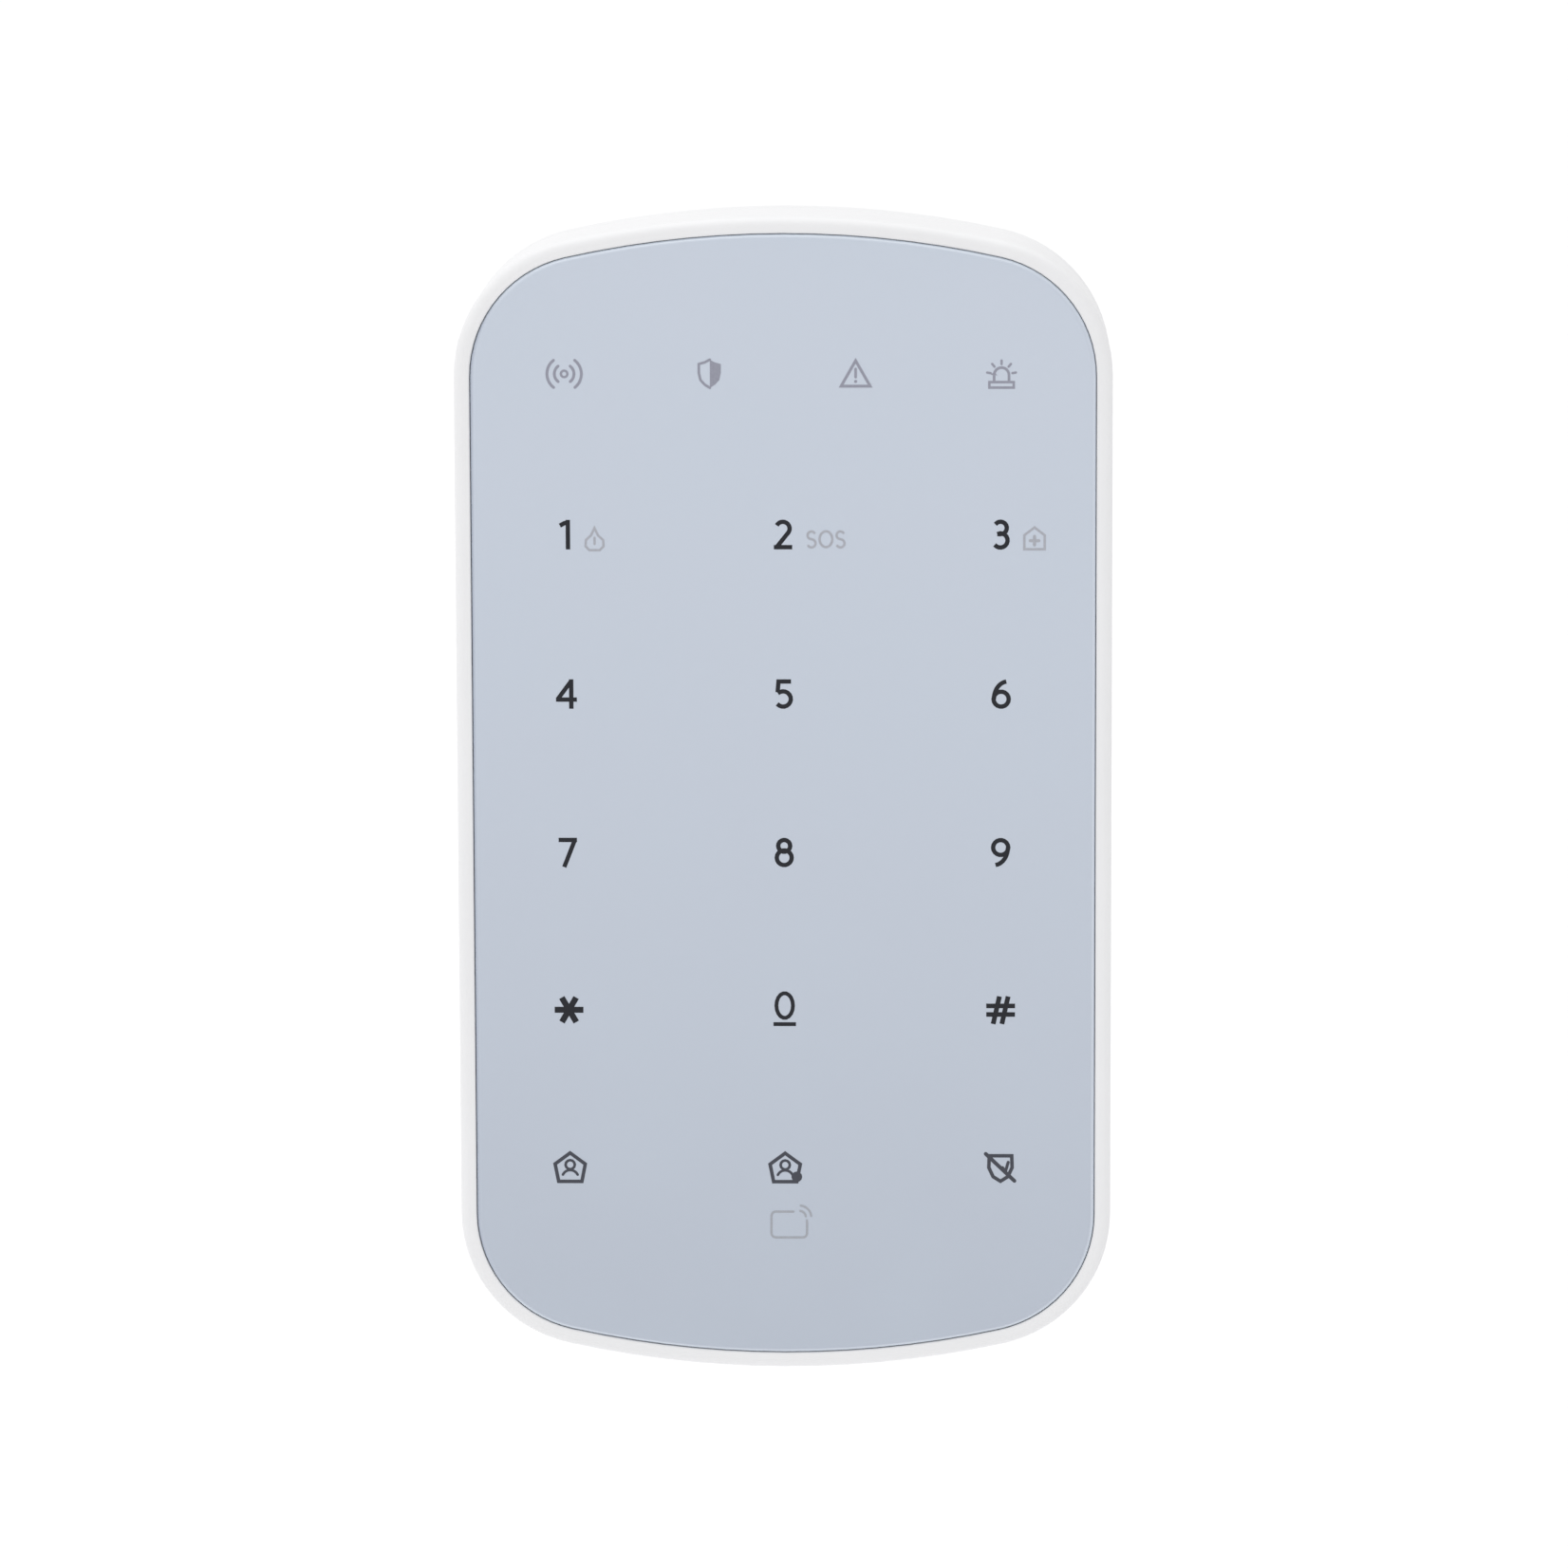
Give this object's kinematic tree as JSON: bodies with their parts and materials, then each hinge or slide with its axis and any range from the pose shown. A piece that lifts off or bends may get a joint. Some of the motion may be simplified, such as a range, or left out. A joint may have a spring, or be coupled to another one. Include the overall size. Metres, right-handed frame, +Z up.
{
  "type": "alarm keypad panel",
  "caption": "Battery-powered wall keypad for an alarm: a full-face glossy touch panel in a slim round-cornered white case, hooked on a wall bracket.",
  "frame": {"origin": "on the wall, at the centre of the four wall screws, in the plane of the bracket's back face", "axes": "+X to the right of someone facing the keypad, +Y into the wall, +Z up; the touch panel looks along -Y"},
  "size_m": [0.084, 0.0251, 0.1494],
  "materials": {
    "lens": "glossy, clear over pale blue-grey back printing",
    "case": "fine matt moulded white",
    "bracket": "matt moulded white",
    "tape": "black foam adhesive",
    "shield_plastic": "matt black",
    "diffuser": "milky film",
    "board": "green solder mask over glass laminate",
    "led": "moulded light package",
    "copper": "bare copper",
    "ferrite": "dull dark ferrite film",
    "chip": "matt black moulding",
    "can": "tinned steel",
    "black_plastic": "matt black moulding",
    "spring_steel": "bright nickel-plated spring wire",
    "screw_steel": "zinc-plated",
    "contact_steel": "bright nickel plate",
    "cell_jacket": "printed film jacket with bare ends",
    "knob": "matt mid grey",
    "plunger": "natural acetal"
  },
  "bodies": {
    "wall_bracket": {"wall_bracket": "bracket"},
    "keypad": {"touch_lens": "lens", "lens_tape": "tape", "front_housing": "case", "light_shield": "shield_plastic", "diffuser_sheet": "diffuser", "touch_board": "board", "key_leds": "led", "status_leds": "led", "reader_coil": "copper", "ferrite_sheet": "ferrite", "main_board": "board", "board_chips": "chip", "radio_module": "can", "board_header": "black_plastic", "spring_antenna": "copper", "buzzer": "black_plastic", "tamper_switch": "black_plastic", "tamper_spring": "spring_steel", "power_switch": "can", "rear_shell": "case", "case_screws": "screw_steel", "board_screws": "screw_steel", "cell_1": "cell_jacket", "cell_2": "cell_jacket", "cell_3": "cell_jacket", "cell_4": "cell_jacket", "battery_contacts": "contact_steel", "battery_springs": "spring_steel"},
    "battery_door": {"battery_door": "case", "door_screws": "screw_steel"},
    "tamper_plunger": {"tamper_plunger": "plunger"},
    "power_knob": {"power_knob": "knob"},
    "lock_screw": {"lock_screw": "screw_steel"}
  },
  "joints": [
    {"name": "keypad_lift", "type": "slide", "parent": "wall_bracket", "child": "keypad", "axis": [0, 0, 1], "range_m": [0, 0.0055]},
    {"name": "lock_screw_draw", "type": "slide", "parent": "wall_bracket", "child": "lock_screw", "axis": [0, 0, -1], "range_m": [0, 0.009]},
    {"name": "battery_door_out", "type": "slide", "parent": "keypad", "child": "battery_door", "axis": [0, 1, 0], "range_m": [0, 0.025]},
    {"name": "tamper_press", "type": "slide", "parent": "keypad", "child": "tamper_plunger", "axis": [0, 1, 0], "range_m": [0, 0.0018], "stiffness_N_per_m": 300, "springref_m": 0.0022, "deforming": ["tamper_spring"]},
    {"name": "power_knob_slide", "type": "slide", "parent": "keypad", "child": "power_knob", "axis": [-1, 0, 0], "range_m": [0, 0.0024]}
  ]
}
